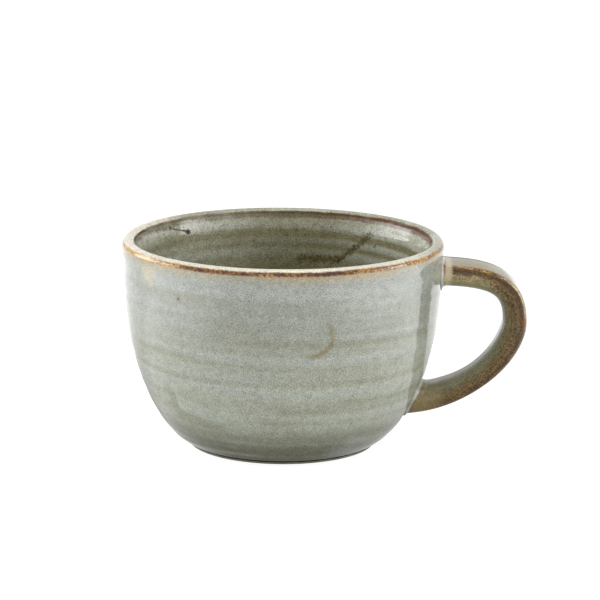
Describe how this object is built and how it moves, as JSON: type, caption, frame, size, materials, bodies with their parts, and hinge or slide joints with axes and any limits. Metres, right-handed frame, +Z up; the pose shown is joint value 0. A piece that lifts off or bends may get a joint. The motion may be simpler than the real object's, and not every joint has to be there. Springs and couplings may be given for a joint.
{
  "type": "coffee cup",
  "caption": "Wide round-bellied stoneware coffee cup with a flared lip, a strap handle luted on with slip, a bare foot ring and a speckled sage-grey glaze.",
  "frame": {"origin": "middle of the footprint box on the table plane; the bowl's axis stands 12.85 mm from it towards -X", "axes": "+Z up along the bowl's axis, +X towards the handle, Y across the strap"},
  "size_m": [0.1256, 0.1, 0.065],
  "materials": {
    "bare_clay": "unglazed, fine grained",
    "slip": "smoothed slip under glaze",
    "outside_glaze": "glossy speckled sage-grey glaze, brown where it breaks over the lip",
    "inside_glaze": "glossy olive-grey glaze with throwing rings",
    "handle_glaze": "glossy olive-grey glaze, brown where it breaks over the edges"
  },
  "bodies": {
    "root": {"clay_bowl": "bare_clay", "clay_handle": "bare_clay", "upper_slip_joint": "slip", "lower_slip_joint": "slip", "outside_glaze": "outside_glaze", "inside_glaze": "inside_glaze", "handle_glaze": "handle_glaze", "foot_well_glaze": "outside_glaze"}
  },
  "joints": []
}
